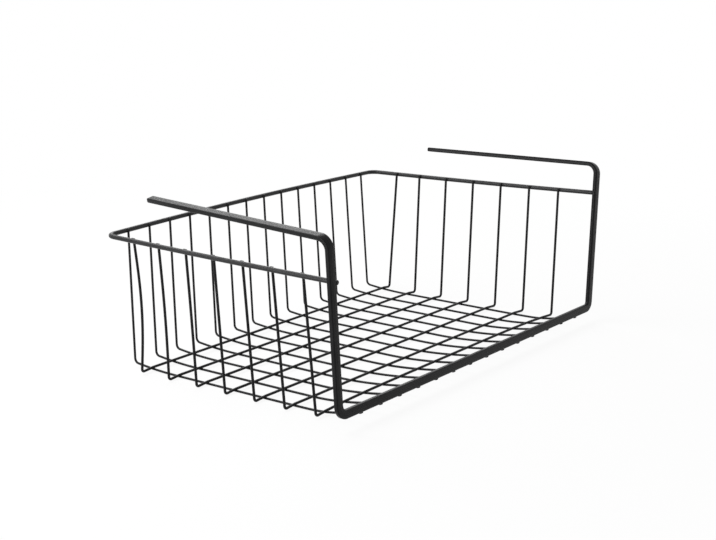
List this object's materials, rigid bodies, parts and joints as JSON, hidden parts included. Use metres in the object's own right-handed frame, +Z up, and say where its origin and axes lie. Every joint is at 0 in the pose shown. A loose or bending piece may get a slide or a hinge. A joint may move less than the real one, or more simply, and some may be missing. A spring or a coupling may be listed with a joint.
{
  "type": "hanging wire basket",
  "caption": "Wire basket with an open front and two arms that slide over a shelf board, so that it hangs under the shelf.",
  "frame": {"origin": "middle of the base, on the surface that the basket stands on", "axes": "+X across the open front, to the right seen from the front; +Y from the open front to the back wall; +Z up"},
  "size_m": [0.4357, 0.266, 0.162],
  "materials": {
    "black_coating": "satin"
  },
  "bodies": {
    "root": {"hanger_frame": "black_coating", "rim_wire": "black_coating", "side_wire_1": "black_coating", "side_wire_2": "black_coating", "side_wire_3": "black_coating", "side_wire_4": "black_coating", "side_wire_5": "black_coating", "side_wire_6": "black_coating", "side_wire_7": "black_coating", "back_wire_01": "black_coating", "back_wire_02": "black_coating", "back_wire_03": "black_coating", "back_wire_04": "black_coating", "back_wire_05": "black_coating", "back_wire_06": "black_coating", "back_wire_07": "black_coating", "back_wire_08": "black_coating", "back_wire_09": "black_coating", "back_wire_10": "black_coating", "back_wire_11": "black_coating", "back_wire_12": "black_coating", "back_wire_13": "black_coating", "back_wire_14": "black_coating"}
  },
  "joints": []
}
